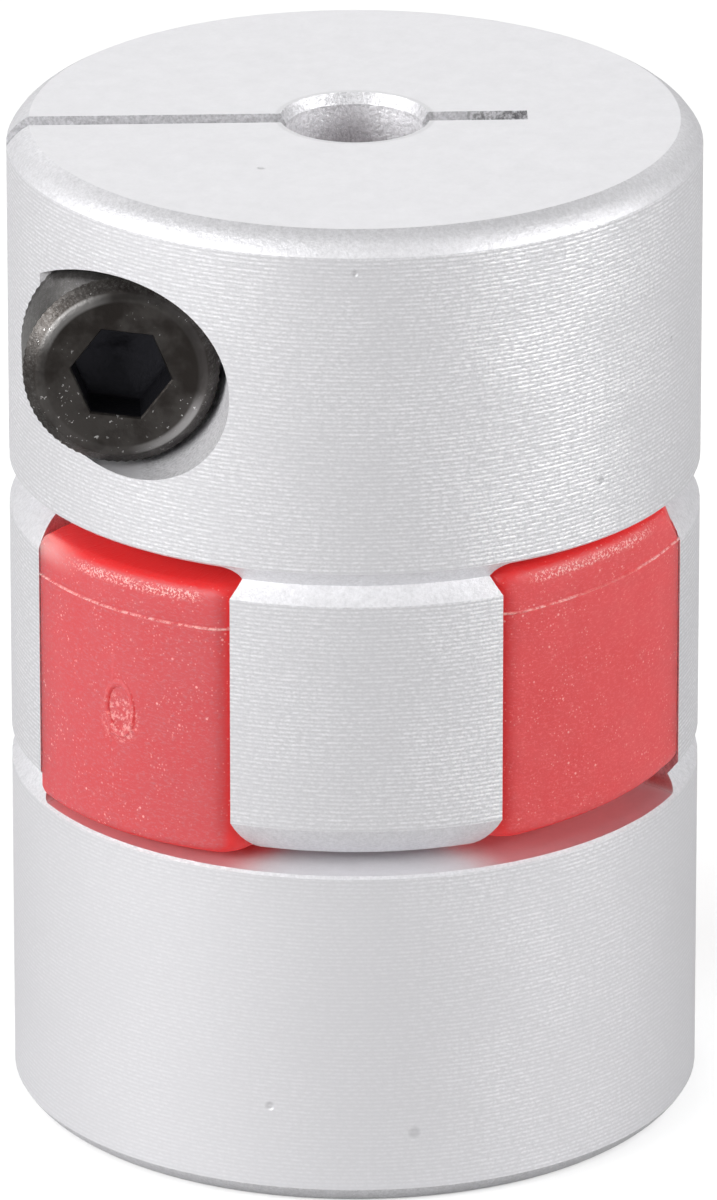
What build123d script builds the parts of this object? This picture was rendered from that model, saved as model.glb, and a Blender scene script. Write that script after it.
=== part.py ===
from build123d import *
from math import acos, cos, hypot, radians, tan
import os

# Jaw coupling for two small shafts: two clamping hubs, each turned and milled in one piece with two
# jaws, an elastic spider with four arms between the jaws, and a clamp screw across each hub's slot.
# The shaft axis is +Z, the origin is the middle of the lower hub's end face, and the front is -Y.
# Lengths are in millimetres and angles in degrees.

# Hub body
hub_diameter = 20.0
hub_body_length = 10.25
hub_gap = 9.2  # between the inner faces of the two hub bodies
upper_end_chamfer = 0.65
lower_end_chamfer = 0.5
chamfer_crown_radius = 1.4  # each end's chamfer is slightly rounded across its width
rim_break = 0.08

# Shaft bore
bore_diameter = 4.0
bore_mouth_width = 0.16
bore_mouth_depth = 0.32
bore_inner_chamfer = 0.15

# Jaws and the pockets milled between them
pocket_radius = 3.85
pocket_inset = 1.52  # from the hub's outside to the middle of each pocket
pocket_overlap = 0.57  # how far each pocket runs into the open middle
jaw_corner_radius = 0.5
jaw_root_fillet = 0.3
jaw_tip_gap = 0.35  # between a jaw's end and the other hub's face
jaw_tip_chamfer = 1.05
jaw_tip_crown_radius = 2.2  # the tips' chamfer is slightly rounded across its width
groove_depth = 0.4
groove_upper_width = 0.42
groove_lower_width = 0.5

# Slot that lets the bore close on the shaft
slot_width = 0.75
slot_end = 4.96  # how far the slot runs past the shaft axis

# Clamp screw, M3 x 10 socket head, its thread drawn plain at the pitch diameter
screw_inset = 3.13  # from the hub's outside to the screw's axis
screw_seat = 4.1  # from the slot's middle plane to the face under the head
screw_length = 10.0
thread_pitch_diameter = 2.675
thread_tip_chamfer = 0.35
head_diameter = 5.6
head_height = 3.0
head_edge_chamfer = 0.25
socket_across_flats = 2.5
socket_depth = 1.5
socket_mouth_chamfer = 0.08
upper_socket_turn = -7.7
lower_socket_turn = 12.0

# Clearances round the screw, each on the radius
thread_clearance = 0.01
shank_clearance = 0.31
head_clearance = 0.2

# Elastic spider
spider_recess = 0.08  # how far its arms stand back from the hubs' outside
spider_web_width = 1.55
spider_cant = 2.6  # it stands askew in the gap, higher on the +X side
arm_corner_radius = 0.5
arm_root_fillet = 0.5
spider_edge_radius = 0.42

# Clearances round the spider
arm_side_clearance = 0.03
web_clearance = 0.15
spider_face_clearance = 0.03

# Sizes that follow from those above
hub_radius = hub_diameter / 2
overall_length = 2 * hub_body_length + hub_gap
jaw_tip = hub_body_length + hub_gap - jaw_tip_gap
bore_radius = bore_diameter / 2
pocket_circle_radius = hub_radius - pocket_inset
jaw_inner_radius = pocket_circle_radius - pocket_radius + pocket_overlap
screw_offset = hub_radius - screw_inset
head_radius = head_diameter / 2
spider_radius = hub_radius - spider_recess
spider_web_radius = jaw_inner_radius - web_clearance
screw_hole_radius = thread_pitch_diameter / 2 + shank_clearance
pocket_half_angle = acos(
    (hub_radius**2 + pocket_circle_radius**2 - pocket_radius**2) / (2 * hub_radius * pocket_circle_radius)
)
cant_rise = spider_radius * cos(radians(45) - pocket_half_angle) * tan(radians(spider_cant))
spider_thickness = hub_gap - 2 * (cant_rise + spider_face_clearance)

# Each hub is drawn from its end face inwards. Its X points to the slot's closed end, and its Y to the
# screw's head. The lower hub is turned a quarter, so that its jaws stand between the upper hub's.
upper_base = Plane((0, 0, overall_length), x_dir=(1, 0, 0), z_dir=(0, 0, -1))
lower_base = Plane((0, 0, 0), x_dir=(0, -1, 0), z_dir=(0, 0, 1))


def from_axis(shape):
    """How far a shape's centre lies from the shaft axis."""
    return hypot(shape.center().X, shape.center().Y)


def screw_plane(base, distance):
    """The plane across a hub's screw axis, facing the head, at a distance from the slot's middle."""
    origin = base.from_local_coords((-screw_offset, distance, hub_body_length / 2))
    return Plane(origin, x_dir=base.x_dir, z_dir=base.y_dir)


def hub(base, end_chamfer):
    """A clamping hub with two jaws: turned and bored, then milled, slotted and drilled."""
    shaft_axis = Axis(base.origin, base.z_dir)
    groove_bottom = hub_body_length + groove_upper_width

    with BuildPart() as blank:
        # The turned outline: the end's chamfer, the groove at the jaws' root, the jaws' chamfered tips, and
        # the bore with its countersunk mouth and broken inner edge
        with BuildSketch(Plane(base.origin, x_dir=base.x_dir, z_dir=-base.y_dir)):
            with BuildLine():
                outside = Polyline(
                    (hub_radius, end_chamfer),
                    (hub_radius, hub_body_length - rim_break),
                    (hub_radius - rim_break, hub_body_length),
                    (hub_radius - groove_depth, groove_bottom),
                    (hub_radius, groove_bottom + groove_lower_width),
                    (hub_radius, jaw_tip - jaw_tip_chamfer),
                )
                inside = Polyline(
                    (hub_radius - jaw_tip_chamfer, jaw_tip),
                    (bore_radius + bore_inner_chamfer, jaw_tip),
                    (bore_radius + bore_inner_chamfer, hub_body_length),
                    (bore_radius, hub_body_length - bore_inner_chamfer),
                    (bore_radius, bore_mouth_depth),
                    (bore_radius + bore_mouth_width, 0),
                    (hub_radius - end_chamfer, 0),
                )
                RadiusArc(outside @ 1, inside @ 0, radius=-jaw_tip_crown_radius)
                RadiusArc(inside @ 1, outside @ 0, radius=-chamfer_crown_radius)
            make_face()
        revolve(axis=shaft_axis)

        # The jaws are left standing between the pockets for the spider's arms, the open middle and the
        # two quarters that the other hub's jaws stand in
        with BuildSketch(base.offset(hub_body_length)) as milled:
            Circle(jaw_inner_radius)
            with PolarLocations(pocket_circle_radius, 4, start_angle=45):
                Circle(pocket_radius)
            for side in (-hub_diameter, hub_diameter):
                Polygon((0, 0), (side, side), (side, -side), align=None)
            fillet(milled.vertices().group_by(from_axis)[0], radius=jaw_corner_radius)
        extrude(amount=hub_gap, mode=Mode.SUBTRACT)
        inner_face = blank.faces().filter_by(shaft_axis).sort_by(shaft_axis)[1]
        root_edges = inner_face.edges().group_by(from_axis)[1:-1]
        fillet([edge for group in root_edges for edge in group], radius=jaw_root_fillet)

        # The slot, sawn from the side through the bore
        with BuildSketch(base):
            with Locations(((slot_end - hub_radius) / 2, 0)):
                Rectangle(slot_end + hub_radius, slot_width)
        extrude(amount=hub_body_length, mode=Mode.SUBTRACT)

        # The screw's hole: wide to the slot, threaded beyond it, with a counterbore for the head
        with Locations(screw_plane(base, hub_radius)):
            CounterBoreHole(
                radius=screw_hole_radius,
                counter_bore_radius=head_radius + head_clearance,
                counter_bore_depth=hub_radius - screw_seat,
                depth=hub_radius,
            )
            Hole(radius=thread_pitch_diameter / 2 + thread_clearance)
    return blank.part


def clamp_screw(base, socket_turn):
    """The socket head cap screw that draws a hub's slot together."""
    seat = screw_plane(base, screw_seat)
    screw_axis = Axis(seat.origin, seat.z_dir)

    with BuildPart() as screw:
        with BuildSketch(seat):
            Circle(head_radius)
        extrude(amount=head_height)
        chamfer(screw.edges().group_by(screw_axis)[-1], length=head_edge_chamfer)

        with BuildSketch(seat):
            Circle(thread_pitch_diameter / 2)
        extrude(amount=-screw_length)
        chamfer(screw.edges().group_by(screw_axis)[0], length=thread_tip_chamfer)

        with BuildSketch(seat.offset(head_height)):
            RegularPolygon(socket_across_flats / 2, 6, major_radius=False, rotation=socket_turn)
        extrude(amount=-socket_depth, mode=Mode.SUBTRACT)
        mouth = screw.edges().filter_by(GeomType.LINE).group_by(screw_axis)[-1]
        chamfer(mouth, length=socket_mouth_chamfer)
    return screw.part


with BuildPart() as spider:
    # Four round-sided arms joined by a web ring
    with BuildSketch(Plane.XY.offset(hub_body_length)) as spider_outline:
        Circle(spider_web_radius)
        with PolarLocations(pocket_circle_radius, 4, start_angle=45):
            Circle(pocket_radius - arm_side_clearance)
        Circle(spider_radius, mode=Mode.INTERSECT)
        fillet(spider_outline.vertices().group_by(from_axis)[-1], radius=arm_corner_radius)
        fillet(spider_outline.vertices().group_by(from_axis)[0], radius=arm_root_fillet)
        Circle(spider_web_radius - spider_web_width, mode=Mode.SUBTRACT)
    extrude(amount=hub_gap)

    # Its two faces are parallel and stand askew in the gap
    spider_middle = Plane((0, 0, overall_length / 2)).rotated((0, -spider_cant, 0))
    spider_top = spider_middle.offset(spider_thickness / 2)
    spider_bottom = spider_middle.offset(-spider_thickness / 2)
    split(bisect_by=spider_top, keep=Keep.BOTTOM)
    split(bisect_by=spider_bottom, keep=Keep.TOP)
    end_faces = spider.faces().filter_by(Axis(spider_middle.origin, spider_middle.z_dir))
    fillet([edge for face in end_faces for edge in face.outer_wire().edges()], radius=spider_edge_radius)

pieces = {
    "upper_hub": hub(upper_base, upper_end_chamfer),
    "lower_hub": hub(lower_base, lower_end_chamfer),
    "spider": spider.part,
    "upper_clamp_screw": clamp_screw(upper_base, upper_socket_turn),
    "lower_clamp_screw": clamp_screw(lower_base, lower_socket_turn),
}

os.makedirs("parts", exist_ok=True)
for name, piece in pieces.items():
    piece.label = name
    export_step(piece, f"parts/{name}.step")
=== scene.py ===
from math import atan2, cos, pi, radians, sin, tan

import bmesh
import bpy
from bpy.props import FloatProperty, FloatVectorProperty, PointerProperty
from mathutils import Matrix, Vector


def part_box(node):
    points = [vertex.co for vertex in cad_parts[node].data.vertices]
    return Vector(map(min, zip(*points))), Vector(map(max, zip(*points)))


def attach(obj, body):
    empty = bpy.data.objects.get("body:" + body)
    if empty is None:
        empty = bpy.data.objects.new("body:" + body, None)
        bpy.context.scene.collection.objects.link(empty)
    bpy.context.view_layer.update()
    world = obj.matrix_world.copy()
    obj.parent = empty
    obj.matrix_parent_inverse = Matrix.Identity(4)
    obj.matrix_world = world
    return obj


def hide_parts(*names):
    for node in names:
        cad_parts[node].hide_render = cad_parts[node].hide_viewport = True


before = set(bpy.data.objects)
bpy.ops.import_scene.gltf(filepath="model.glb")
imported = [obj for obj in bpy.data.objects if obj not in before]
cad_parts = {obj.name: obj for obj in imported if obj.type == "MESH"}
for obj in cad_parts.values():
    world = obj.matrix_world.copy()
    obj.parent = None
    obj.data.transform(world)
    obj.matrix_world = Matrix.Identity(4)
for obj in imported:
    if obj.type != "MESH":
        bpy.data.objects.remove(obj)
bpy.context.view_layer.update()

bl_info = {
    "name": "Jaw Coupling",
    "version": (1, 0, 0),
    "blender": (4, 5, 0),
    "location": "3D View > Sidebar > Coupling",
    "description": "Finishes a jaw coupling's hubs, moulded spider and clamp screws, and sets up its studio",
    "category": "Object",
}

MM = 0.001

HUBS = ("upper_hub", "lower_hub")
SCREWS = ("upper_clamp_screw", "lower_clamp_screw")

# Heights in millimetres that the materials read
TOP = 29.7
MIDDLE = 14.85
PARTING_LINE = 17.69

# The ejector's mark on the spider: its azimuth from the front, and its height
MARK_AZIMUTH = radians(-44.8)
MARK_HEIGHT = 14.35 * MM

# Azimuth from the side of the arms' corners that stand next to the side jaws
ARM_CORNER = radians(22.9)

# Small nicks in the hubs: their places and radii in millimetres
NICKS = (
    ((-2.8, -4.2, 29.7), 0.14),
    ((-0.36, -9.99, 28.6), 0.12),
    ((8.87, -4.62, 24.51), 0.12),
    ((6.73, -7.40, 21.25), 0.19),
    ((-2.79, -9.60, 3.01), 0.16),
    ((1.33, -9.91, 2.24), 0.24),
)


# Shader nodes


class Wire:
    """A node's output that takes part in sums as a number does. Each sum adds a Math node."""

    def __init__(self, finish, socket):
        self.finish = finish
        self.socket = socket

    def output(self, name):
        """Another output of the same node."""
        return Wire(self.finish, self.socket.node.outputs[name])

    def math(self, operation, *values):
        return self.finish.add("ShaderNodeMath", {"operation": operation}, dict(enumerate(values)))

    def __add__(self, other):
        return self.math("ADD", self, other)

    def __radd__(self, other):
        return self.math("ADD", other, self)

    def __sub__(self, other):
        return self.math("SUBTRACT", self, other)

    def __rsub__(self, other):
        return self.math("SUBTRACT", other, self)

    def __mul__(self, other):
        return self.math("MULTIPLY", self, other)

    def __rmul__(self, other):
        return self.math("MULTIPLY", other, self)

    def __truediv__(self, other):
        return self.math("DIVIDE", self, other)

    def __abs__(self):
        return self.math("ABSOLUTE", self)

    def root(self):
        return self.math("SQRT", self)

    def wave(self):
        """The sine of the value."""
        return self.math("SINE", self)

    def most(self, *others):
        """The largest of several values."""
        top = self
        for other in others:
            top = self.math("MAXIMUM", top, other)
        return top

    def within(self, low, high):
        """Rises smoothly from 0 at low to 1 at high, or falls where high is the smaller."""
        sockets = {"Value": self, "From Min": low, "From Max": high}
        return self.finish.add("ShaderNodeMapRange", {"interpolation_type": "SMOOTHSTEP"}, sockets)


class Finish:
    """A material or world whose nodes are added one by one."""

    def __init__(self, tree):
        self.tree = tree
        tree.nodes.clear()

    def add(self, kind, settings=None, sockets=None, output=0):
        """One node: its settings are made first, and then its sockets get their values or wires."""
        node = self.tree.nodes.new(kind)
        for name, value in (settings or {}).items():
            setattr(node, name, value)
        for name, value in (sockets or {}).items():
            if isinstance(value, Wire):
                self.tree.links.new(value.socket, node.inputs[name])
            else:
                node.inputs[name].default_value = value
        return Wire(self, node.outputs[output]) if node.outputs else None

    def place(self):
        """The place on the object in millimetres."""
        at = self.add("ShaderNodeTexCoord", output="Object")
        return self.add("ShaderNodeVectorMath", {"operation": "SCALE"}, {0: at, "Scale": 1 / MM}, "Vector")

    def parts(self, vector):
        """A vector's X, Y and Z."""
        split = self.add("ShaderNodeSeparateXYZ", None, {0: vector})
        return split, split.output("Y"), split.output("Z")

    def vector(self, x, y, z):
        return self.add("ShaderNodeCombineXYZ", None, {0: x, 1: y, 2: z})

    def noise(self, at, scale, detail=2.0, roughness=0.5):
        """Soft noise round 0.5, of so many grains to the millimetre."""
        sockets = {"Vector": at, "Scale": scale, "Detail": detail, "Roughness": roughness}
        return self.add("ShaderNodeTexNoise", None, sockets)

    def blend(self, factor, first, second):
        """A colour between two colours."""
        settings = {"data_type": "RGBA"}
        return self.add("ShaderNodeMix", settings, {0: factor, 6: first, 7: second}, 2)

    def far(self, at, place):
        """How far each point lies from one place."""
        return self.add("ShaderNodeVectorMath", {"operation": "DISTANCE"}, {0: at, 1: place}, "Value")

    def bump(self, height, depth):
        """A normal from a height between 0 and 1 that stands for a depth in millimetres."""
        sockets = {"Height": height, "Distance": depth * MM, "Strength": 1.0}
        return self.add("ShaderNodeBump", None, sockets)

    def surface(self, sockets):
        shader = self.add("ShaderNodeBsdfPrincipled", None, sockets)
        self.add("ShaderNodeOutputMaterial", None, {"Surface": shader})


def new_material(name):
    material = bpy.data.materials.new(name)
    material.use_nodes = True
    return material, Finish(material.node_tree)


def give(piece, material):
    """Makes the material the only one on a piece."""
    piece.data.materials.clear()
    piece.data.materials.append(material)


# Modelling


def start():
    """Leaves edit mode and deselects everything."""
    if bpy.context.object and bpy.context.object.mode != "OBJECT":
        bpy.ops.object.mode_set(mode="OBJECT")
    bpy.ops.object.select_all(action="DESELECT")


def choose(piece):
    """Makes a piece the only one selected."""
    start()
    bpy.context.view_layer.objects.active = piece
    piece.select_set(True)


def settle():
    """Moves the active piece's place and turn into its mesh."""
    bpy.ops.object.transform_apply(location=True, rotation=True, scale=True)
    return bpy.context.object


def drum(radius, low, high, sides, x=0.0, y=0.0):
    """A closed cylinder along Z."""
    start()
    bpy.ops.mesh.primitive_cylinder_add(
        vertices=sides, radius=radius, depth=high - low, location=(x, y, (low + high) / 2)
    )
    return settle()


def combine(piece, other, operation):
    """Joins, cuts or keeps the overlap with another piece, which is used up."""
    choose(piece)
    modifier = piece.modifiers.new("Combine", "BOOLEAN")
    modifier.operation = operation
    modifier.solver = "EXACT"
    modifier.object = other
    bpy.ops.object.modifier_apply(modifier=modifier.name)
    bpy.data.objects.remove(other)


def edit(piece, kind):
    """Opens a piece in edit mode with nothing selected."""
    choose(piece)
    bpy.ops.object.mode_set(mode="EDIT")
    bpy.ops.mesh.select_mode(type=kind)
    bpy.ops.mesh.select_all(action="DESELECT")


def pick(piece, kind, test):
    """Selects only the vertices, edges or faces that pass a test, and stops if there are none."""
    bpy.ops.mesh.select_all(action="DESELECT")
    mesh = bmesh.from_edit_mesh(piece.data)
    mesh.normal_update()
    chosen = [part for part in getattr(mesh, kind) if test(part)]
    if not chosen:
        raise RuntimeError(f"No {kind} of {piece.name} pass the test")
    for part in chosen:
        part.select_set(True)
    mesh.select_flush_mode()
    bmesh.update_edit_mesh(piece.data)


def upright(edge):
    """Whether an edge runs along Z."""
    low, high = (end.co for end in edge.verts)
    return (low.xy - high.xy).length < 1e-7 and abs(low.z - high.z) > 1e-6


def sharp(edge, angle):
    """Whether two faces meet at an edge by more than so many degrees."""
    return len(edge.link_faces) == 2 and edge.calc_face_angle() > radians(angle)


def finished(piece, name, slot, material, *nodes):
    """Hands a finished piece over in place of the nodes that it stands for."""
    choose(piece)
    bpy.ops.object.shade_smooth_by_angle(angle=radians(32))
    piece.name = name
    piece.data.name = name
    give(piece, material)
    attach(piece, "root")
    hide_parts(*nodes)


# Sizes and colours


class HubSettings(bpy.types.PropertyGroup):
    radius: FloatProperty(name="Radius", description="Outside of the hubs", default=10 * MM, unit="LENGTH")
    turning_pitch: FloatProperty(
        name="Turning pitch",
        description="Distance between the tool's lines round the outside",
        default=0.125 * MM,
        unit="LENGTH",
    )
    colour: FloatVectorProperty(
        name="Colour",
        description="Clear anodised aluminium",
        default=(0.86, 0.855, 0.88),
        subtype="COLOR",
    )


class SpiderSettings(bpy.types.PropertyGroup):
    radius: FloatProperty(name="Radius", description="Over the arms", default=9.92 * MM, unit="LENGTH")
    arm_radius: FloatProperty(
        name="Arm radius", description="Of each arm's round sides", default=3.82 * MM, unit="LENGTH"
    )
    arm_circle: FloatProperty(
        name="Arm circle",
        description="Radius of the circle of the arms' middles",
        default=8.48 * MM,
        unit="LENGTH",
    )
    web_radius: FloatProperty(
        name="Web radius", description="Between the arms", default=5.05 * MM, unit="LENGTH"
    )
    hole_radius: FloatProperty(name="Hole radius", description="Of its hole", default=3.5 * MM, unit="LENGTH")
    cant: FloatProperty(
        name="Cant", description="How far it stands askew in the gap", default=radians(2.6), subtype="ANGLE"
    )
    corner_radius: FloatProperty(
        name="Corner radius", description="Of the arms' upright corners", default=0.62 * MM, unit="LENGTH"
    )
    edge_radius: FloatProperty(
        name="Edge radius", description="Of the upper and lower edges", default=0.42 * MM, unit="LENGTH"
    )
    colour: FloatVectorProperty(
        name="Colour", description="Red polyurethane", default=(0.66, 0.030, 0.032), subtype="COLOR"
    )
    # The skin colours are the frosted skin with painted sheen: the right one paler as painted light, the left
    # one darker as painted shade
    skin_sheen: FloatVectorProperty(
        name="Bloom",
        description="Paler skin on the arms' outer faces at the right",
        default=(0.78, 0.135, 0.145),
        subtype="COLOR",
    )
    left_skin_sheen: FloatVectorProperty(
        name="Left bloom",
        description="Paler skin on the arms' outer faces at the left",
        default=(0.57, 0.138, 0.155),
        subtype="COLOR",
    )
    # The glow is painted light: emission in place of light that comes through the elastomer
    glow: FloatVectorProperty(
        name="Glow",
        description="Light that comes through the elastomer",
        default=(0.12, 0.006, 0.006),
        subtype="COLOR",
    )


class ScrewSettings(bpy.types.PropertyGroup):
    thread_diameter: FloatProperty(
        name="Thread diameter", description="Over the thread's crests", default=2.98 * MM, unit="LENGTH"
    )
    core_diameter: FloatProperty(
        name="Core diameter", description="At the thread's roots", default=2.39 * MM, unit="LENGTH"
    )
    pitch: FloatProperty(name="Pitch", description="Between two threads", default=0.5 * MM, unit="LENGTH")
    length: FloatProperty(name="Length", description="Under the head", default=10 * MM, unit="LENGTH")
    head_diameter: FloatProperty(
        name="Head diameter", description="Over the knurl", default=5.6 * MM, unit="LENGTH"
    )
    head_height: FloatProperty(
        name="Head height", description="From seat to face", default=3 * MM, unit="LENGTH"
    )
    socket: FloatProperty(name="Socket", description="Width across flats", default=2.5 * MM, unit="LENGTH")
    socket_depth: FloatProperty(
        name="Socket depth", description="To its flat end", default=1.5 * MM, unit="LENGTH"
    )
    upper_turn: FloatProperty(
        name="Upper turn",
        description="How far the upper socket is turned",
        default=radians(-7.7),
        subtype="ANGLE",
    )
    lower_turn: FloatProperty(
        name="Lower turn",
        description="How far the lower socket is turned",
        default=radians(12),
        subtype="ANGLE",
    )
    colour: FloatVectorProperty(
        name="Colour", description="Black oxide on steel", default=(0.036, 0.031, 0.028), subtype="COLOR"
    )


class StudioSettings(bpy.types.PropertyGroup):
    distance: FloatProperty(
        name="Camera distance",
        description="From the coupling's middle to the camera",
        default=407.3 * MM,
        unit="LENGTH",
    )
    azimuth: FloatProperty(
        name="Camera azimuth",
        description="Turn to the right of the front",
        default=radians(-2.05),
        subtype="ANGLE",
    )
    elevation: FloatProperty(
        name="Camera elevation", description="Angle above the horizon", default=radians(21.57), subtype="ANGLE"
    )
    lens: FloatProperty(name="Lens", description="Focal length on a 36 mm sensor", default=420.5)
    power: FloatProperty(
        name="Lamp power",
        description="Power that each softbox takes its share of",
        default=1.0,
        subtype="POWER",
    )


# Hubs


def turned_aluminium(settings):
    """Satin anodised aluminium, with the tool's lines round the outside and finer rings on the ends."""
    material, finish = new_material("turned_aluminium")
    at = finish.place()
    x, y, z = finish.parts(at)
    reach = (x * x + y * y).root()
    nx, ny, nz = finish.parts(finish.add("ShaderNodeTexCoord", output="Normal"))
    outward = (nx * x + ny * y) / reach
    flat = abs(nz)
    outside = settings.radius / MM

    # Where each kind of cut is: round the outside, on the chamfers except in the screws' holes, on the flat
    # faces, of which the end faces are less metallic and so less bright from the sides, and everywhere else
    side = outward.within(0.93, 0.97) * reach.within(outside - 0.5, outside - 0.4)
    along = abs(z - MIDDLE)
    drilled = along.within(5.0, 5.2) * along.within(13.9, 13.7)
    rounded = flat.within(0.2, 0.4) * flat.within(0.995, 0.98)
    crown = reach.within(outside - 1.1, outside - 1.0) * rounded * (1 - drilled)
    face = flat.within(0.97, 0.99) * (1 - crown)
    end = face * along.within(14.0, 14.5)
    milled = (1 - side) * (1 - crown) * (1 - face)

    # Lines left by the turning tool, broken into dashes; their stronger contrast on one side of the upper hub
    # is painted glint
    pitch = settings.turning_pitch / MM
    glint_angle = -0.96
    angle = y.math("ARCTAN2", y, x)
    wander = finish.noise(at, 0.6, 1.0)
    turns = z * (1 / pitch)
    lines = (turns * (2 * pi) + wander * 2.5).wave() * 0.5 + 0.5
    long = finish.noise(finish.vector(angle * 11.0, turns, reach * 0.1), 1.0, 2.0, 0.75)
    dashes = finish.noise(finish.vector(angle * 62.0, turns * 1.15, 0.0), 1.0, 1.0, 0.6)
    grain = finish.noise(at, 15.0, 2.0, 0.65)
    patchy = finish.noise(at, 0.45, 2.0).within(0.35, 0.65)
    glint_side = abs(angle - glint_angle).within(0.62, 0.12)
    upper = z.within(9.0, 12.0)
    zone = (0.26 + upper * 0.50 + glint_side * (0.45 + upper * 0.45)) * (0.7 + patchy * 0.3)
    cut = lines * (long * 0.55 + dashes.within(0.35, 0.68) * 0.75)

    mottle = finish.noise(at, 4.5, 3.0, 0.75)
    cloudy = finish.noise(at, 1.5, 4.0, 0.75)
    flecks = finish.noise(at, 10.0, 3.0, 0.8)
    ring_pitch = 0.16
    rings = (reach * (2 * pi / ring_pitch) + finish.noise(at, 0.8, 1.0) * 3.0).wave() * 0.5 + 0.5
    rough = finish.noise(at, 7.0, 3.0, 0.7)

    # The slots' walls are darker just under the top and chipped by the saw towards the right end, and a few
    # nicks are spread over the hubs
    sawn = abs(y).within(0.42, 0.40) * z.within(TOP - 0.7, TOP - 0.4)
    marked_area = ((mottle * 0.4 + flecks * 0.6).within(0.42, 0.58) - 0.25) * x.within(2.9, 3.4)
    sawn_edge_darkening = sawn * (marked_area * 0.8 + 0.13)
    nicks = [finish.far(at, place).within(radius, radius / 3) for place, radius in NICKS]
    nicked = nicks[0].most(*nicks[1:])
    # Painted shade in the bore's countersunk mouth
    shaded_countersink = reach.within(2.35, 2.25) * z.within(TOP - 0.5, TOP - 0.35)

    height = (
        side * zone * (cut * 0.45 + grain * 0.30)
        + crown * mottle * 2.0
        + face * (rings * 0.03 + grain * 0.10)
        + milled * (rough * 1.6 + flecks * 2.0)
        - nicked * 2.0
    )
    shade = (
        1
        # Painted light: the lower hub's sides are painted a little lighter than the upper hub's
        - side * (0.155 - zone * (cut * 0.34 + (grain - 0.5) * 0.35) - (1 - upper) * 0.072)
        # Painted shade: the chamfer at the lower end is darker next to the floor
        - crown * ((0.5 - flecks) * 0.50 + (0.5 - mottle) * 0.22 + 0.05 + z.within(0.7, 0.3) * 0.16)
        - face * ((0.5 - cloudy) * 0.16 + (0.5 - flecks) * 0.10)
        + end * 0.055
        - milled * ((0.5 - rough) * 0.55 + (0.5 - flecks) * 1.1 + 0.02 + sawn_edge_darkening)
        - shaded_countersink * 0.13
        - nicked * 0.15
    )
    # Painted reflection and shade: the red of the spider's arms is painted on the inner faces next to them, as
    # far round as the arms reach
    arms = abs(abs(abs(angle) - pi / 2) - pi / 4).within(0.44, 0.34)
    red_reflection = face * along.within(5.2, 5.0) * arms * 0.75
    tint = finish.blend(red_reflection, (*settings.colour, 1.0), (0.80, 0.42, 0.46, 1.0))
    colour = finish.add("ShaderNodeVectorMath", {"operation": "SCALE"}, {0: tint, "Scale": shade}, "Vector")
    finish.surface(
        {
            "Base Color": colour,
            "Metallic": 0.5 - end * 0.45,
            "Roughness": 0.40 + grain * 0.08 + crown * (0.06 + flecks * 0.08),
            "Normal": finish.bump(height, 0.012),
        }
    )
    return material


class COUPLING_OT_finish_hubs(bpy.types.Operator):
    """Gives both hubs their turned and anodised surface."""

    bl_idname = "coupling.finish_hubs"
    bl_label = "Finish the hubs"

    def execute(self, context):
        material = turned_aluminium(context.scene.coupling_hub)
        for name in HUBS:
            give(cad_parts[name], material)
        return {"FINISHED"}


# Spider


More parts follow.
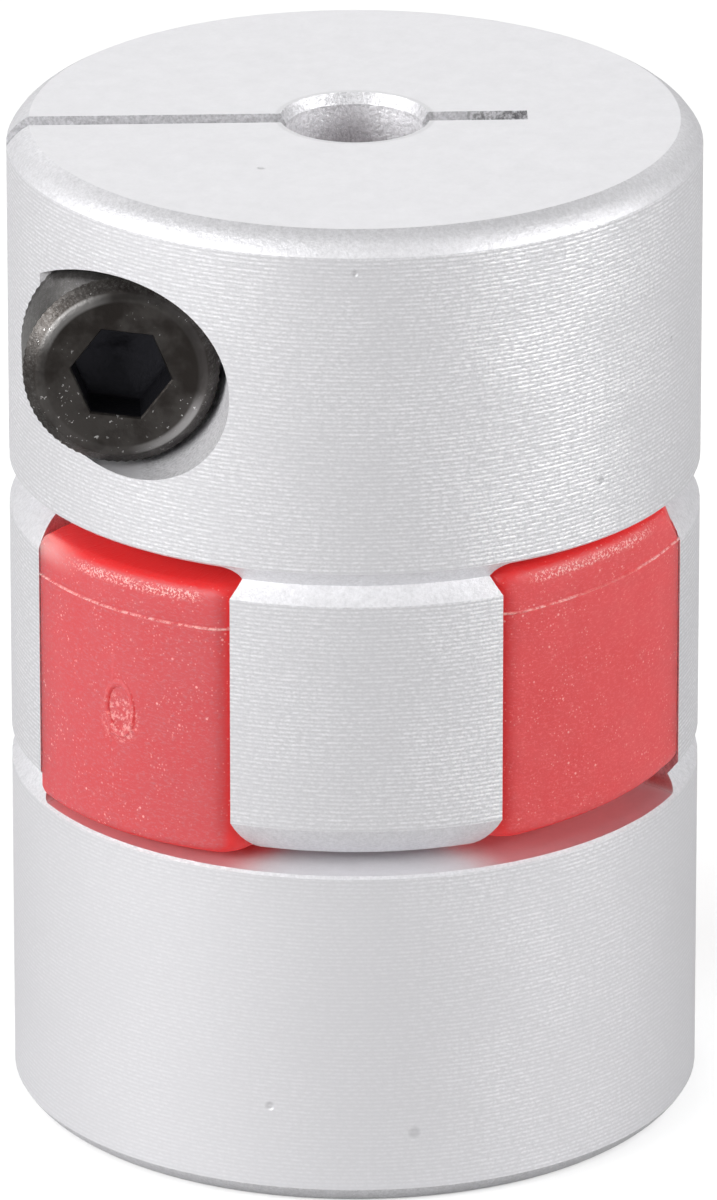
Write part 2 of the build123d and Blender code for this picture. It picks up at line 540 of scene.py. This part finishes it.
def moulded_polyurethane(settings):
    """Red polyurethane, with a paler frosted skin that also carries painted sheen, specks painted as glints on
    the arms' outer faces, and a painted glow.
    """
    material, finish = new_material("moulded_polyurethane")
    at = finish.place()
    x, y, z = finish.parts(at)
    reach = (x * x + y * y).root()
    angle = y.math("ARCTAN2", y, x)
    turned = abs(abs(angle) - pi / 2)
    outside = settings.radius / MM
    skin = reach.within(outside - 0.17, outside - 0.02)
    height = z - x * tan(settings.cant)

    grain = finish.noise(at, 14.0, 2.0)
    cloud = finish.noise(at, 0.9, 3.0, 0.65)
    streaks = finish.noise(finish.vector(angle * 55.0, z * 12.0, reach), 1.0, 3.0, 0.8).within(0.48, 0.74)
    dots = finish.add("ShaderNodeTexVoronoi", None, {"Vector": at, "Scale": 3.0}, "Distance")
    motes = finish.add("ShaderNodeTexVoronoi", None, {"Vector": at, "Scale": 8.0}, "Distance")
    scatter = finish.noise(at, 1.3, 2.0)
    # Specks and finer motes are painted glints; the specks are small bumps too
    specks = dots.within(0.16, 0.06) * scatter.within(0.47, 0.60)
    fine = motes.within(0.26, 0.10) * scatter.within(0.40, 0.60)

    # Painted sparkle along the lower part of the upper rounding, painted sheen at its far end, and a painted
    # highlight on the parting line's crest, broken into stretches
    along = turned.within(0.47, 0.53) * turned.within(1.04, 0.90)
    rim = height.within(18.42, 18.54) * height.within(18.82, 18.68) * along
    sparkle = finish.noise(at, 15.0, 2.0, 0.8).within(0.50, 0.60) * rim
    hazy_sheen = turned.within(0.93, 1.13) * height.within(18.0, 18.6) * x.within(0.0, -1.0)
    patches = finish.noise(finish.vector(angle * 36.0, z * 3.0, x * 0.5), 1.0, 3.0, 0.85).within(0.38, 0.54)
    beads = finish.noise(at, 9.0, 2.0, 0.7).within(0.42, 0.58) * 0.6 + 0.4
    faint = x.within(6.0, 6.4) * x.within(8.2, 7.6) * 0.7
    crest_highlight = abs(height - PARTING_LINE).within(0.065, 0.015) * patches * beads * (1 - faint)

    # Painted glints on the lower part of the ejector's mark
    mark = direction(MARK_AZIMUTH, 0.0) * outside
    marked_area = finish.far(at, (mark.x, mark.y, MARK_HEIGHT / MM - 0.30)).within(0.85, 0.60)
    mark_glints = marked_area * finish.noise(at, 5.5, 3.0, 0.8).within(0.50, 0.60)
    painted_glints = (specks * 0.6).most(sparkle * 0.8, crest_highlight * 0.8, fine * 0.40, hazy_sheen * 0.30, mark_glints * 0.4)
    painted_glints = painted_glints * reach.within(outside - 0.32, outside - 0.12)

    # The paler skin is partly the mould's frosting and partly painted sheen, paler at the right as painted
    # light and darker at the left as painted shade
    skin_sheen = finish.blend(x.within(-2.0, 2.0), (*settings.left_skin_sheen, 1.0), (*settings.skin_sheen, 1.0))
    frosted_and_sheen = finish.blend(skin * (0.30 + cloud * 0.40 + streaks * 0.65), (*settings.colour, 1.0), skin_sheen)

    # Painted glow: emission stands in for the light that comes through, is strongest at the lower edges, and
    # the skin holds most of it back
    red, green, blue = settings.glow
    glow = finish.blend(z.within(11.5, 11.0), (red, green, blue, 1.0), (red * 1.25, green, blue, 1.0))
    finish.surface(
        {
            "Base Color": finish.blend(painted_glints, frosted_and_sheen, (1.0, 0.66, 0.62, 1.0)),
            "Roughness": 0.36 + skin * 0.14 + grain * 0.08,
            "Normal": finish.bump(grain * 0.6 + streaks * 0.6 + specks * 0.6, 0.012),
            "Subsurface Weight": 0.7,
            "Subsurface Radius": (1.0, 0.12, 0.10),
            "Subsurface Scale": 2.0 * MM,
            "Emission Color": finish.blend(skin, glow, (0.02, 0, 0, 1.0)),
            "Emission Strength": 1.0,
        }
    )
    return material


def beside_side_jaw(edge):
    """Whether an edge is at an arm's corner next to one of the jaws at the sides."""
    return all(end.co.xy.length > 8 * MM and abs(end.co.x) > abs(end.co.y) for end in edge.verts)


def mould_mark(piece, settings):
    """The shallow oval mark that the mould's ejector leaves, with a raised and uneven rim."""
    out = direction(MARK_AZIMUTH, 0.0)
    place = out * settings.radius + Vector((0, 0, MARK_HEIGHT))
    turn = out.to_track_quat("Z", "Y").to_euler()
    oval = (1.0, 1.0, 1.5)

    start()
    bpy.ops.mesh.primitive_cylinder_add(
        vertices=40, radius=0.50 * MM, depth=0.07 * MM, location=place, rotation=turn
    )
    bpy.ops.transform.resize(value=oval, center_override=place)
    combine(piece, settle(), "DIFFERENCE")
    start()
    bpy.ops.mesh.primitive_torus_add(
        major_segments=40,
        minor_segments=10,
        major_radius=0.52 * MM,
        minor_radius=0.10 * MM,
        location=place - out * 0.055 * MM,
        rotation=turn,
    )
    bpy.ops.transform.resize(value=oval, center_override=place)
    rim = settle()
    edit(rim, "VERT")
    bpy.ops.mesh.select_all(action="SELECT")
    bpy.ops.transform.vertex_random(offset=0.025 * MM, seed=7)
    start()
    combine(piece, rim, "UNION")


class COUPLING_OT_model_spider(bpy.types.Operator):
    """Models the elastic spider, moulded in one piece with its parting line."""

    bl_idname = "coupling.model_spider"
    bl_label = "Model the spider"

    def execute(self, context):
        settings = context.scene.coupling_spider
        box_low, box_high = (Vector(corner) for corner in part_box("spider"))
        middle = Vector((0, 0, (box_low.z + box_high.z) / 2))
        low, high = box_low.z - 2 * MM, box_high.z + 2 * MM

        # Four round-sided arms on a web
        piece = drum(settings.web_radius, low, high, 120)
        for quarter in range(4):
            angle = pi / 4 + quarter * pi / 2
            x, y = settings.arm_circle * cos(angle), settings.arm_circle * sin(angle)
            combine(piece, drum(settings.arm_radius, low, high, 128, x, y), "UNION")
        combine(piece, drum(settings.radius, low + 1 * MM, high - 1 * MM, 256), "INTERSECT")

        # The arms' corners and roots are cleared of close edges, and those beside the front and back jaws and
        # at the web are rounded
        edit(piece, "EDGE")
        mesh = bmesh.from_edit_mesh(piece.data)
        corners = [edge.verts[0].co.xy.copy() for edge in mesh.edges if upright(edge) and sharp(edge, 25)]

        def close(edge):
            gap = min((edge.verts[0].co.xy - corner).length for corner in corners)
            return upright(edge) and not sharp(edge, 25) and gap < settings.corner_radius + 0.06 * MM

        pick(piece, "edges", close)
        bpy.ops.mesh.dissolve_edges(use_verts=True)
        pick(piece, "edges", lambda edge: upright(edge) and sharp(edge, 25) and not beside_side_jaw(edge))
        bpy.ops.mesh.bevel(offset=settings.corner_radius, segments=8, affect="EDGES", clamp_overlap=False)

        # Its two faces stand askew in the gap
        normal = Vector((-sin(settings.cant), 0, cos(settings.cant)))
        rise = settings.radius * cos(ARM_CORNER) * sin(settings.cant)
        half = (box_high.z - box_low.z) / 2 * cos(settings.cant) - rise
        for side in (1, -1):
            bpy.ops.mesh.select_all(action="SELECT")
            bpy.ops.mesh.bisect(
                plane_co=middle + normal * half * side,
                plane_no=normal * side,
                use_fill=True,
                clear_outer=True,
                threshold=1e-6,
            )
        combine(piece, drum(settings.hole_radius, low, high, 128), "DIFFERENCE")

        # Rounded upper and lower edges
        edit(piece, "EDGE")
        pick(
            piece,
            "edges",
            lambda edge: sharp(edge, 60) and not upright(edge) and edge.verts[0].co.xy.length > 4 * MM,
        )
        bpy.ops.mesh.bevel(offset=settings.edge_radius, segments=7, affect="EDGES", clamp_overlap=False)

        # The corners beside the side jaws are only broken, and close the gap to the jaws
        pick(piece, "edges", lambda edge: sharp(edge, 24) and beside_side_jaw(edge))
        bpy.ops.mesh.bevel(offset=0.10 * MM, segments=3, affect="EDGES")
        bpy.ops.mesh.select_mode(type="VERT")
        pick(
            piece,
            "verts",
            lambda vertex: vertex.co.xy.length > 9.7 * MM and abs(vertex.co.x) > 2.1 * abs(vertex.co.y),
        )
        bpy.ops.transform.resize(value=(1.006, 0.995, 1.0), center_override=(0, 0, 0))

        # The upper corners at the right are cut off
        bpy.ops.mesh.select_all(action="SELECT")
        bpy.ops.mesh.bisect(
            plane_co=Vector((box_high.x - 0.20 * MM, 0, box_high.z - 0.62 * MM)),
            plane_no=Vector((0.928, 0, 0.374)),
            use_fill=True,
            clear_outer=True,
            threshold=1e-6,
        )

        # The parting line of the mould stands a little proud
        line = middle + normal * 2.84 * MM
        half_width = 0.05 * MM
        for step in (-1, 0, 1):
            bpy.ops.mesh.select_all(action="SELECT")
            bpy.ops.mesh.bisect(plane_co=line + normal * step * half_width, plane_no=normal, threshold=1e-6)
        bpy.ops.mesh.select_mode(type="VERT")
        pick(
            piece,
            "verts",
            lambda vertex: abs((vertex.co - line).dot(normal)) < 1e-6 and vertex.co.xy.length > 9.7 * MM,
        )
        bpy.ops.transform.shrink_fatten(value=0.06 * MM)
        bpy.ops.transform.vertex_random(offset=0.014 * MM, seed=4)
        start()

        mould_mark(piece, settings)
        finished(piece, "elastic_spider", "spider_elastomer", moulded_polyurethane(settings), "spider")
        return {"FINISHED"}


# Clamp screws


def black_oxide(settings):
    """Oiled black oxide: rubbed round the head, nearly black in the socket, worn to bare steel in specks, and
    with a painted highlight on two stretches of the head's border.
    """
    material, finish = new_material("black_oxide")
    at = finish.place()
    x, y, z = finish.parts(finish.add("ShaderNodeAttribute", {"attribute_name": "made_at"}, None, "Vector"))
    reach = (x * x + y * y).root() * (1 / MM)
    height = z * (1 / MM)
    top = settings.head_height / MM

    # Two opposite stretches of the head's border rounding are painted lighter as a painted highlight, this way
    # round from the screw's X
    highlight_towards = radians(138)

    grain = finish.noise(at, 9.0, 3.0, 0.65)
    cloud = finish.noise(at, 0.9, 3.0, 0.6)
    inside = reach.within(1.52, 1.44) * height.within(top - 0.08, top - 0.2)
    rubbed = reach.within(2.42, 2.54)
    streaks = finish.noise(finish.vector(x * 9000, y * 9000, z * 2500), 1.0, 3.0, 0.7).within(0.42, 0.68)
    patches = finish.noise(at, 8.0, 2.0, 0.7).within(0.655, 0.70) * cloud.within(0.49, 0.57) * (1 - inside)
    scuffed = finish.noise(at, 16.0, 2.0, 0.8).within(0.50, 0.66)
    border = reach.within(2.14, 2.24) * reach.within(2.50, 2.42) * height.within(top - 0.5, top - 0.4)
    stretch = abs(x * cos(highlight_towards) + y * sin(highlight_towards)) / reach * (1 / MM)
    knurled = height.within(top - 0.40, top - 0.46) * height.within(0.2, 0.4)
    bare_and_highlight = (patches * 0.9).most(
        rubbed * (streaks * 0.05 + scuffed * 0.08),
        knurled * (0.16 + streaks * 0.14 + scuffed * 0.10) * rubbed,
        border * (0.04 + stretch.within(0.80, 0.98) * 0.30),
    )

    dark = finish.blend(cloud.within(0.35, 0.65), (*settings.colour, 1.0), (0.082, 0.075, 0.070, 1.0))
    dark = finish.blend(inside, dark, (0.035, 0.035, 0.042, 1.0))
    finish.surface(
        {
            "Base Color": finish.blend(bare_and_highlight, dark, (0.62, 0.61, 0.60, 1.0)),
            "Metallic": 0.9,
            "Roughness": 0.30 + grain * 0.24,
            "Normal": finish.bump(grain + cloud * 2.0 + patches, 0.014),
        }
    )
    return material


def socket_screw(settings):
    """A socket head cap screw along Z with its seat at the origin's height."""
    head_radius = settings.head_diameter / 2
    height = settings.head_height

    # The head, with a chamfered border, rounded where it meets the slightly dished face
    facets = 144
    head = drum(head_radius, 0.0, height, facets)
    edit(head, "EDGE")
    pick(head, "edges", lambda edge: min(end.co.z for end in edge.verts) > height - 1e-6)
    bpy.ops.mesh.bevel(offset=0.40 * MM, segments=1, affect="EDGES")
    pick(head, "edges", lambda edge: min(end.co.z for end in edge.verts) > height - 1e-6)
    bpy.ops.mesh.bevel(offset=0.17 * MM, segments=6, affect="EDGES")
    bpy.ops.mesh.select_mode(type="FACE")
    pick(head, "faces", lambda face: len(face.verts) > 4 and face.normal.z > 0.9)
    bpy.ops.mesh.inset(thickness=0.30 * MM, depth=0.0)
    bpy.ops.mesh.inset(thickness=0.16 * MM, depth=-0.035 * MM)

    # The knurl: every other edge of the side is pressed in
    bpy.ops.mesh.select_mode(type="VERT")
    step = 2 * pi / facets

    def pressed(vertex):
        number = round((atan2(vertex.co.y, vertex.co.x) - pi / 2) / step)
        return vertex.co.z < height - 0.39 * MM and number % 2 == 1

    pick(head, "verts", pressed)
    bpy.ops.transform.resize(value=(0.989, 0.989, 1.0), center_override=(0, 0, 0))
    start()

    # The hexagon socket with its drilled end and broken mouth
    across = settings.socket / cos(pi / 6)
    mouth = 0.10 * MM
    cutter = drum(across / 2, height - settings.socket_depth, height - mouth, 6)
    cutter.rotation_euler = (0, 0, pi / 6)
    settle()
    edit(cutter, "FACE")
    pick(cutter, "faces", lambda face: face.normal.z > 0.9)
    bpy.ops.mesh.extrude_region_move(TRANSFORM_OT_translate={"value": (0, 0, mouth)})
    bpy.ops.transform.resize(value=(1.05, 1.05, 1.0), center_override=(0, 0, height))
    bpy.ops.mesh.extrude_region_move(TRANSFORM_OT_translate={"value": (0, 0, 0.5 * MM)})
    pick(cutter, "faces", lambda face: face.normal.z < -0.9)
    bpy.ops.mesh.inset(thickness=0.12 * MM, depth=0.0)
    bpy.ops.mesh.extrude_region_move(TRANSFORM_OT_translate={"value": (0, 0, -0.45 * MM)})
    bpy.ops.transform.resize(value=(0.2, 0.2, 1.0), center_override=(0, 0, 0))
    combine(head, cutter, "DIFFERENCE")

    # The thread: a ridge wound up the shank, with the whole kept inside a chamfered outline
    core = settings.core_diameter / 2
    crest_highlight = settings.thread_diameter / 2
    start()
    bpy.ops.mesh.primitive_plane_add(size=1.0)
    ridge = bpy.context.object
    edit(ridge, "VERT")
    pick(ridge, "verts", lambda vertex: vertex.co.x < 0)
    bpy.ops.transform.resize(value=(0.0, 1.0, 1.0), center_override=(-0.5, 0, 0))
    start()
    profile = ((-0.12, -0.22), (1.0, -0.05), (-0.12, 0.22), (1.0, 0.05))
    for vertex, (out, up) in zip(ridge.data.vertices, profile):
        vertex.co = (core + (crest_highlight - core) * out, 0.0, settings.pitch * up)
    winding = ridge.modifiers.new("Thread", "SCREW")
    winding.axis = "Z"
    winding.screw_offset = settings.pitch
    winding.iterations = round(settings.length / settings.pitch) + 1
    winding.steps = 36
    winding.render_steps = 36
    choose(ridge)
    bpy.ops.object.modifier_apply(modifier=winding.name)
    ridge.location.z = -settings.length - 0.6 * settings.pitch
    settle()
    edit(ridge, "EDGE")
    bpy.ops.mesh.select_non_manifold()
    bpy.ops.mesh.fill()
    bpy.ops.mesh.select_all(action="SELECT")
    bpy.ops.mesh.normals_make_consistent(inside=False)
    start()
    shank = drum(core, -settings.length - 1 * MM, -0.2 * MM, 36)
    combine(shank, ridge, "UNION")
    outline = drum(crest_highlight + 0.01 * MM, -settings.length, -0.4 * MM, 64)
    edit(outline, "EDGE")
    pick(outline, "edges", lambda edge: max(end.co.z for end in edge.verts) < -settings.length + 1e-6)
    bpy.ops.mesh.bevel(offset=0.35 * MM, segments=1, affect="EDGES")
    combine(shank, outline, "INTERSECT")
    neck = drum(core, -0.5 * MM, 0.1 * MM, 36)
    combine(head, neck, "UNION")
    combine(head, shank, "UNION")

    # Each point keeps its place on the upright screw for the material to read
    places = [part for vertex in head.data.vertices for part in vertex.co]
    head.data.attributes.new("made_at", "FLOAT_VECTOR", "POINT").data.foreach_set("vector", places)
    return head


class COUPLING_OT_model_screws(bpy.types.Operator):
    """Models one clamp screw and copies it to both hubs."""

    bl_idname = "coupling.model_screws"
    bl_label = "Model the clamp screws"

    def execute(self, context):
        settings = context.scene.coupling_screw
        material = black_oxide(settings)
        first = socket_screw(settings)
        choose(first)
        bpy.ops.object.duplicate()
        second = bpy.context.object

        for name, screw, turn, tip in (
            (SCREWS[0], first, settings.upper_turn, Vector((pi / 2, 0, 0))),
            (SCREWS[1], second, settings.lower_turn - pi / 2, Vector((0, pi / 2, 0))),
        ):
            low, high = (Vector(corner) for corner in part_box(name))
            choose(screw)
            screw.rotation_euler = (0, 0, turn)
            settle()
            screw.rotation_euler = tip
            screw.location = (low + high) / 2
            if tip.x:
                screw.location.y = low.y + settings.head_height
            else:
                screw.location.x = high.x - settings.head_height
            settle()
            finished(screw, f"{name}_m3", "screw_steel", material, name)
        return {"FINISHED"}


# Studio

SOFTBOXES = (
    ("left_rear_softbox", -80, 20, 0.90),
    ("left_softbox", -60, 20, 1.27),
    ("left_front_softbox", -40, 20, 0.52),
    ("right_softbox", 60, 20, 1.22),
    ("right_rear_softbox", 80, 20, 0.60),
    ("front_softbox", 0, 50, 0.16),
    ("back_softbox", 180, 25, 0.22),
    ("back_right_softbox", 150, 30, 0.25),
    ("back_left_softbox", -150, 30, 0.28),
)


def direction(azimuth, elevation):
    """The way out from the coupling at an azimuth from the front and an angle above the horizon."""
    return Vector((sin(azimuth) * cos(elevation), -cos(azimuth) * cos(elevation), sin(elevation)))


def aimed(data, location, target):
    """A lamp or camera that stands at one place and looks at another."""
    thing = bpy.data.objects.new(data.name, data)
    bpy.context.scene.collection.objects.link(thing)
    thing.location = location
    thing.rotation_euler = (target - location).to_track_quat("-Z", "Y").to_euler()
    return thing


def softbox(name, azimuth, elevation, power):
    """A square lamp half a metre away, given by its angles from the front and above the floor."""
    lamp = bpy.data.lights.new(name, "AREA")
    lamp.shape = "SQUARE"
    lamp.size = 200 * MM
    lamp.energy = power
    middle = Vector((0, 0, 15 * MM))
    aimed(lamp, middle + direction(radians(azimuth), radians(elevation)) * 500 * MM, middle)


class COUPLING_OT_set_up_studio(bpy.types.Operator):
    """Adds the pale floor, the soft lamps, the world and the camera."""

    bl_idname = "coupling.set_up_studio"
    bl_label = "Set up the studio"

    def execute(self, context):
        studio = context.scene.coupling_studio

        bpy.ops.object.select_all(action="DESELECT")
        bpy.ops.mesh.primitive_plane_add(size=6.0, location=(0, 0, -0.02 * MM))
        floor = context.object
        floor.name = "floor"
        bpy.ops.object.transform_apply(location=True)
        material, finish = new_material("pale_floor")
        rays = finish.add("ShaderNodeLightPath", output="Is Camera Ray")
        glossy = rays.output("Is Glossy Ray")
        x, y, _ = finish.parts(finish.place())
        # Painted shadow: the glow is left out under the coupling, so only the lit paper shows there
        beside = (x * x + y * y).root().within(9.0, 9.8)
        paper = finish.add("ShaderNodeBsdfDiffuse", None, {"Color": (0.5, 0.5, 0.5, 1)})
        glow = finish.add(
            "ShaderNodeEmission",
            None,
            {"Color": (1, 1, 1, 1), "Strength": beside * (rays * 0.65 + glossy * 0.05)},
        )
        both = finish.add("ShaderNodeAddShader", None, {0: paper, 1: glow})
        finish.add("ShaderNodeOutputMaterial", None, {"Surface": both})
        give(floor, material)

        world = bpy.data.worlds.new("studio")
        context.scene.world = world
        world.use_nodes = True
        sky = Finish(world.node_tree)
        rays = sky.add("ShaderNodeLightPath", output="Is Camera Ray")
        level = 0.1
        strength = level + (1 - level) * rays
        dome = sky.add("ShaderNodeBackground", None, {"Color": (1, 1, 1, 1), "Strength": strength})
        sky.add("ShaderNodeOutputWorld", None, {"Surface": dome})

        for name, azimuth, elevation, share in SOFTBOXES:
            softbox(name, azimuth, elevation, studio.power * share)

        lens = bpy.data.cameras.new("camera")
        lens.sensor_width = 36.0
        lens.lens = studio.lens
        back = direction(studio.azimuth, studio.elevation)
        middle = Vector((0, 0, 15 * MM))
        aim = middle + Vector((0.107 * MM, 0, -0.196 * MM))
        lens.clip_start = 0.01
        context.scene.camera = aimed(lens, middle + back * studio.distance, aim)

        context.scene.view_settings.view_transform = "Standard"
        return {"FINISHED"}


# Add-on


class COUPLING_PT_panel(bpy.types.Panel):
    """Lists the coupling's steps in the sidebar."""

    bl_label = "Jaw Coupling"
    bl_space_type = "VIEW_3D"
    bl_region_type = "UI"
    bl_category = "Coupling"

    def draw(self, context):
        for step in STEPS:
            self.layout.operator(step.bl_idname)


STEPS = (COUPLING_OT_finish_hubs, COUPLING_OT_model_spider, COUPLING_OT_model_screws, COUPLING_OT_set_up_studio)
GROUPS = {
    "coupling_hub": HubSettings,
    "coupling_spider": SpiderSettings,
    "coupling_screw": ScrewSettings,
    "coupling_studio": StudioSettings,
}


def register():
    for group in (*GROUPS.values(), *STEPS, COUPLING_PT_panel):
        bpy.utils.register_class(group)
    for name, group in GROUPS.items():
        setattr(bpy.types.Scene, name, PointerProperty(type=group))


def unregister():
    for name in GROUPS:
        delattr(bpy.types.Scene, name)
    for group in (COUPLING_PT_panel, *reversed(STEPS), *reversed(GROUPS.values())):
        bpy.utils.unregister_class(group)


def main():
    register()
    bpy.ops.coupling.finish_hubs()
    bpy.ops.coupling.model_spider()
    bpy.ops.coupling.model_screws()
    bpy.ops.coupling.set_up_studio()


if __name__ == "__main__":
    main()
